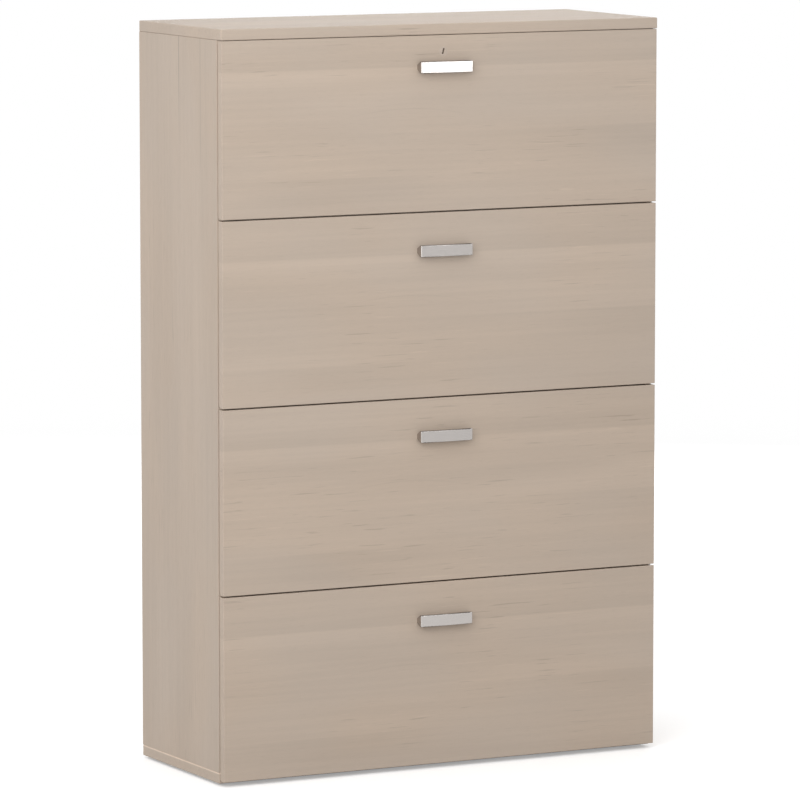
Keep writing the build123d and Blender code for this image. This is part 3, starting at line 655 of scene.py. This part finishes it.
@dataclass(frozen=True)
class CoatedSurface:
    """Powder coat, moulded plastic or rubber with a fine all-over texture."""

    finish: Finish
    base: Colour
    coat: Coat
    roughness: Span
    grain_scale: float
    relief: float
    edge_wear_and_shade: float
    grain_detail: float = 2.0
    grain_shift: Triple = (9.1, 4.4, 0.8)
    grain_depth: float = 0.035
    clouds: CloudPattern = CloudPattern(scale=(14.0, 14.0, 14.0), detail=3.0, shift=(2.8, 5.2, 6.6))
    mottle: float = 0.93
    edge_radius: float = 0.001
    rubber_glow: float = 0.25
    rubber_depth: float = 0.002

    def make(self) -> bpy.types.Material:
        """Builds the material.

        Returns:
            The material.
        """
        sheet = FinishSheet(self.finish.value)
        grains = sheet.noise(CloudPattern((self.grain_scale,) * 3, self.grain_detail, self.grain_shift))
        clouds = sheet.noise(self.clouds)
        tone = sheet.product(
            sheet.ranged(grains, MIDDLE, around(self.grain_depth)),
            sheet.ranged(sheet.edges(self.edge_radius), WHOLE, changed(self.edge_wear_and_shade)),
        )
        darker = tuple(part * self.mottle for part in self.base)
        sheet.paint(sheet.between(clouds, self.base, darker), tone)
        sheet.roughen(clouds, MIDDLE, self.roughness)
        sheet.bump(grains, self.relief)
        if self.coat is Coat.RUBBER:
            sheet.set("Subsurface Weight", self.rubber_glow)
            sheet.set("Subsurface Scale", self.rubber_depth)
        return sheet.material


LAMINATE_TONE: Colour = (0.515, 0.424, 0.347)
SIDE_LINES = (
    GrainLine(y=0.014, top=1.46, foot=1.22, half_width=0.0028, depth=0.30),
    GrainLine(y=-0.085, top=1.30, foot=1.16, half_width=0.0026, depth=0.16),
)
# Painted highlight: pale line painted along the bottom panel's rounded upper edge, where it catches the
# light.
BASE_RIM_HIGHLIGHTS = (PaintedRimHighlight(z=0.0255, half_height=0.0028, lift=0.5),)
FRONT_FIGURE = (
    GrainWash(rise=0.288, fade=-0.060, shade=-0.036),
    GrainWash(rise=0.288, fade=0.045, shade=0.046),
    GrainWash(rise=0.255, fade=0.060, shade=-0.022, centre=-0.45, reach=0.45),
    GrainWash(rise=0.160, fade=-0.090, shade=0.022, centre=0.25, reach=0.60),
    GrainWash(rise=0.160, fade=0.110, shade=-0.044, centre=0.55, reach=0.55),
    GrainWash(rise=0.072, fade=-0.090, shade=0.024, centre=-0.35, reach=0.45),
    GrainWash(rise=0.072, fade=0.100, shade=-0.046, centre=-0.22, reach=0.34),
    GrainArch(centre=-0.08, crest=0.206, reach=0.22, droop=0.040, spacing=0.010, count=2, shade=-0.05),
)


class FinishShelf:
    """Every finish of the cabinet, made once and handed out by name."""

    def __init__(self) -> None:
        """Makes the materials."""
        finishes = (
            WoodLaminate(Finish.LAMINATE_ACROSS, LAMINATE_TONE, Grain.ACROSS),
            WoodLaminate(Finish.LAMINATE_FRONT, LAMINATE_TONE, Grain.ACROSS, figure=FRONT_FIGURE),
            WoodLaminate(Finish.LAMINATE_UPRIGHT, LAMINATE_TONE, Grain.UPRIGHT, lines=SIDE_LINES),
            # The bottom panel's line is a painted highlight along its rounded upper edge.
            WoodLaminate(Finish.LAMINATE_BASE, LAMINATE_TONE, Grain.ACROSS, lines=BASE_RIM_HIGHLIGHTS),
            WoodLaminate(Finish.BIN_BOARD, base=(0.56, 0.47, 0.39), grain=Grain.ACROSS,
                         stroke_depth=0.08, fleck_lift=0.04),
            PlainBoard(Finish.BACK_BOARD, base=(0.53, 0.44, 0.36), faded=(0.56, 0.47, 0.395)),
            # The satin pulls get painted shade: darker rims and darker faces looking up or down, standing
            # in for dark reflections.
            WorkedMetal(Finish.SATIN_METAL, base=(0.478, 0.450, 0.430), dulled=(0.460, 0.433, 0.414),
                        mark_scale=(25.0, 1200.0, 2200.0), mark_depth=0.025, roughness=(0.17, 0.24),
                        relief=0.000004, edge_wear_and_shade=-0.1, level_painted_shade=0.3),
            WorkedMetal(Finish.ZINC_STEEL, base=(0.57, 0.58, 0.59), dulled=(0.53, 0.53, 0.525),
                        mark_scale=(260.0, 260.0, 260.0), mark_depth=0.06, roughness=(0.28, 0.46),
                        relief=0.00001, edge_wear_and_shade=0.12),
            WorkedMetal(Finish.CAM_ZINC, base=(0.51, 0.51, 0.52), dulled=(0.46, 0.46, 0.465),
                        mark_scale=(900.0, 900.0, 900.0), mark_depth=0.08, roughness=(0.40, 0.58),
                        relief=0.00003, edge_wear_and_shade=0.12),
            CoatedSurface(Finish.GREY_POWDER_COAT, base=(0.60, 0.59, 0.57), coat=Coat.POWDER,
                          roughness=(0.42, 0.54), grain_scale=1400.0, relief=0.00003, edge_wear_and_shade=0.10),
            CoatedSurface(Finish.BLACK_PLASTIC, base=(0.032, 0.032, 0.033), coat=Coat.MOULDED,
                          roughness=(0.45, 0.6), grain_scale=1100.0, relief=0.00004, edge_wear_and_shade=0.6),
            CoatedSurface(Finish.WHITE_NYLON, base=(0.80, 0.785, 0.75), coat=Coat.MOULDED,
                          roughness=(0.38, 0.5), grain_scale=700.0, relief=0.00002, edge_wear_and_shade=0.04),
            CoatedSurface(Finish.CLEAR_RUBBER, base=(0.60, 0.58, 0.55), coat=Coat.RUBBER,
                          roughness=(0.35, 0.5), grain_scale=500.0, relief=0.00002, edge_wear_and_shade=0.05),
            CoatedSurface(Finish.LOCK_METAL, base=(0.50, 0.41, 0.335), coat=Coat.POWDER,
                          roughness=(0.36, 0.48), grain_scale=1500.0, relief=0.00001, edge_wear_and_shade=0.12),
        )
        self.materials = {maker.finish: maker.make() for maker in finishes}

    def dress(self, node: str, finish: Finish) -> None:
        """Gives a CAD node its finish.

        Args:
            node: Name of the CAD node.
            finish: Finish that it gets.
        """
        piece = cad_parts[node]
        piece.data.materials.clear()
        piece.data.materials.append(self.materials[finish])
        LOG.info("%s: %s", node, finish.value)


@dataclass
class CarcassPanels:
    """Top, bottom, sides, back and rails that stand still."""

    shelf: FinishShelf
    level_boards: tuple[str, ...] = ("top_panel", "wall_rail")
    upright_boards: tuple[str, ...] = ("side_panel_left", "side_panel_right")
    rail_count: int = FLAP_COUNT - 1

    def dress(self) -> None:
        """Gives each board laminate with its grain along its length, and the back its plain board."""
        rails = tuple(f"cross_rail_{index}" for index in range(1, self.rail_count + 1))
        for node in self.level_boards + rails:
            self.shelf.dress(node, Finish.LAMINATE_ACROSS)
        for node in self.upright_boards:
            self.shelf.dress(node, Finish.LAMINATE_UPRIGHT)
        self.shelf.dress("bottom_panel", Finish.LAMINATE_BASE)
        self.shelf.dress("back_panel", Finish.BACK_BOARD)


@dataclass
class CarcassFittings:
    """Cam fittings, hinge brackets, pins, studs, bumpers, screws, glides and the lock's strike."""

    shelf: FinishShelf
    plated: tuple[str, ...] = (
        "cam_bolts", "hinge_brackets", "hinge_pins", "bracket_screws", "back_screws", "stop_studs",
        "lock_strike",
    )

    def dress(self) -> None:
        """Gives each fitting its metal, plastic or rubber."""
        for node in self.plated:
            self.shelf.dress(node, Finish.ZINC_STEEL)
        self.shelf.dress("cam_housings", Finish.CAM_ZINC)
        self.shelf.dress("flap_bumpers", Finish.CLEAR_RUBBER)
        self.shelf.dress("floor_glides", Finish.BLACK_PLASTIC)


@dataclass
class TiltFlap:
    """One flap: its front, pull, bin boards, side plates, bushes and screws."""

    shelf: FinishShelf
    number: int
    finishes: dict[str, Finish] = field(default_factory=lambda: {
        "front": Finish.LAMINATE_FRONT,
        "handle": Finish.SATIN_METAL,
        "handle_screws": Finish.ZINC_STEEL,
        "side_plates": Finish.GREY_POWDER_COAT,
        "floor_board": Finish.BIN_BOARD,
        "divider_board": Finish.BIN_BOARD,
        "back_board": Finish.BIN_BOARD,
        "plate_screws": Finish.ZINC_STEEL,
        "pivot_bushes": Finish.WHITE_NYLON,
    })

    def dress(self) -> None:
        """Gives the flap's pieces their finishes."""
        for piece, finish in self.finishes.items():
            self.shelf.dress(f"flap_{self.number}_{piece}", finish)


@dataclass
class FlapLock:
    """Cam lock of the top flap."""

    shelf: FinishShelf
    coated: tuple[str, ...] = ("lock_housing", "lock_plug")
    plated: tuple[str, ...] = ("lock_nut", "lock_cam")

    def dress(self) -> None:
        """Gives the lock its coated face and plated inner parts."""
        for node in self.coated:
            self.shelf.dress(node, Finish.LOCK_METAL)
        for node in self.plated:
            self.shelf.dress(node, Finish.ZINC_STEEL)


@dataclass(frozen=True)
class SoftBox:
    """Area lamp aimed at a point, in metres and watts."""

    name: str
    eye: Triple
    target: Triple
    width: float
    height: float
    power: float
    glint_only: bool = False

    def make(self) -> None:
        """Builds the lamp, which the camera doesn't see."""
        lamp = bpy.data.lights.new(self.name, "AREA")
        lamp.shape = "RECTANGLE"
        lamp.size = self.width
        lamp.size_y = self.height
        lamp.energy = self.power
        holder = bpy.data.objects.new(self.name, lamp)
        holder.location = self.eye
        aim = Vector(self.target) - Vector(self.eye)
        holder.rotation_euler = aim.to_track_quat("-Z", "Y").to_euler()
        holder.visible_camera = False
        holder.visible_diffuse = not self.glint_only
        bpy.context.scene.collection.objects.link(holder)
        LOG.info("lamp %s", self.name)


@dataclass
class Studio:
    """White floor, white surroundings and soft lamps."""

    floor_radius: float = 9.0
    floor_facets: int = 96
    floor_clearing: Span = (1.2, 6.0)
    floor_colour: Colour = (0.90, 0.90, 0.90)
    bounce_colour: Colour = (0.45, 0.44, 0.43)
    floor_lift: float = 0.30
    floor_roughness: float = 0.9
    floor_gloss: float = 0.1
    world_strength: float = 0.60
    backdrop_strength: float = 1.0
    lamps: tuple[SoftBox, ...] = (
        SoftBox("key_lamp", eye=(-3.1, -3.25, 2.6), target=(0.0, 0.0, 1.0),
                width=4.2, height=4.2, power=142.0),
        SoftBox("fill_lamp", eye=(2.5, -4.0, 2.6), target=(0.2, 0.0, 1.0),
                width=2.4, height=2.4, power=9.0),
        SoftBox("side_lamp", eye=(-4.5, 0.6, 0.6), target=(-0.5, 0.0, 0.5),
                width=1.8, height=1.8, power=7.5),
        SoftBox("back_lamp", eye=(2.8, 4.2, 1.1), target=(0.0, 0.2, 0.8),
                width=2.4, height=1.6, power=70.0),
        SoftBox("top_lamp", eye=(-0.2, 0.2, 5.2), target=(0.0, 0.0, 1.0),
                width=3.0, height=3.0, power=31.0),
        SoftBox("pull_glint_lamp", eye=(0.95, -1.95, 1.37), target=(0.0, -0.18, 1.41),
                width=1.1, height=0.26, power=3.3, glint_only=True),
    )

    def build(self) -> None:
        """Builds the floor, the surroundings and the lamps."""
        self.build_floor()
        self.build_world()
        for lamp in self.lamps:
            lamp.make()

    def build_floor(self) -> None:
        """Builds the round floor."""
        turns = (math.tau * index / self.floor_facets for index in range(self.floor_facets))
        ring = [
            (self.floor_radius * math.cos(turn), self.floor_radius * math.sin(turn), 0.0)
            for turn in turns
        ]
        mesh = bpy.data.meshes.new("studio_floor")
        mesh.from_pydata(ring, [], [list(range(self.floor_facets))])
        floor = bpy.data.objects.new("studio_floor", mesh)
        bpy.context.scene.collection.objects.link(floor)
        mesh.materials.append(self.floor_finish())
        LOG.info("studio_floor")

    def floor_finish(self) -> bpy.types.Material:
        """White matt floor that keeps shadows near the cabinet and clears away from it.

        Returns:
            The floor's material.
        """
        sheet = FinishSheet("studio_white")
        seen = sheet.seen_directly()
        colour = sheet.between(seen, self.bounce_colour, self.floor_colour)
        sheet.link(colour, sheet.shader.inputs["Base Color"])
        glow = sheet.worked("MULTIPLY", seen, self.floor_lift)
        sheet.link(glow, sheet.shader.inputs["Emission Strength"])
        sheet.set("Emission Color", WHITE)
        sheet.set("Roughness", self.floor_roughness)
        sheet.set("Specular IOR Level", self.floor_gloss)
        distance = sheet.tree.nodes.new("ShaderNodeVectorMath")
        distance.operation = "LENGTH"
        sheet.link(sheet.place, distance.inputs[0])
        share = sheet.ranged(distance.outputs["Value"], self.floor_clearing, WHOLE)
        clear = sheet.tree.nodes.new("ShaderNodeBsdfTransparent")
        sheet.link(sheet.blended(share, sheet.shader.outputs["BSDF"], clear.outputs["BSDF"]), sheet.surface)
        return sheet.material

    def build_world(self) -> None:
        """Builds even white light, seen as plain white by the camera and in reflections."""
        world = bpy.data.worlds.new("studio_surroundings")
        bpy.context.scene.world = world
        world.use_nodes = True
        sheet = NodeSheet(world.node_tree, "ShaderNodeOutputWorld")
        light = self.white_glow(sheet, self.world_strength)
        backdrop = self.white_glow(sheet, self.backdrop_strength)
        sheet.link(sheet.blended(sheet.seen_directly(), light, backdrop), sheet.surface)

    @staticmethod
    def white_glow(sheet: NodeSheet, strength: float) -> Socket:
        """White light from all around.

        Args:
            sheet: Node sheet of the surroundings.
            strength: Strength of the light, where 1 is seen as white.

        Returns:
            The light's shader socket.
        """
        node = sheet.tree.nodes.new("ShaderNodeBackground")
        node.inputs["Color"].default_value = WHITE
        node.inputs["Strength"].default_value = strength
        return node.outputs["Background"]


@dataclass(frozen=True)
class PhotoCamera:
    """Long-lens camera at the photograph's viewing angle, left of the front and a little above."""

    eye: Triple = (-5.3401, -10.3251, 2.1103)
    heading_deg: float = 27.33
    tilt_deg: float = -6.784
    lens_mm: float = 259.5
    sensor_mm: float = 36.0
    sight_m: float = 100.0

    def make(self) -> None:
        """Builds the camera and makes it the scene's."""
        data = bpy.data.cameras.new("photo_camera")
        data.lens = self.lens_mm
        data.sensor_width = self.sensor_mm
        data.clip_end = self.sight_m
        camera = bpy.data.objects.new("photo_camera", data)
        turn = Matrix.Rotation(math.radians(-self.heading_deg), 4, "Z")
        nod = Matrix.Rotation(math.radians(QUARTER_TURN_DEG + self.tilt_deg), 4, "X")
        camera.matrix_world = Matrix.Translation(self.eye) @ turn @ nod
        bpy.context.scene.collection.objects.link(camera)
        bpy.context.scene.camera = camera
        LOG.info("photo_camera")


def main() -> None:
    """Dresses the cabinet, builds the studio and sets the camera."""
    logging.basicConfig(level=logging.INFO, format="%(name)s: %(message)s")
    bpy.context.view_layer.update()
    bpy.context.scene.view_settings.view_transform = "Standard"
    shelf = FinishShelf()
    CarcassPanels(shelf).dress()
    CarcassFittings(shelf).dress()
    for number in range(1, FLAP_COUNT + 1):
        TiltFlap(shelf, number).dress()
    FlapLock(shelf).dress()
    Studio().build()
    PhotoCamera().make()


if __name__ == "__main__":
    main()
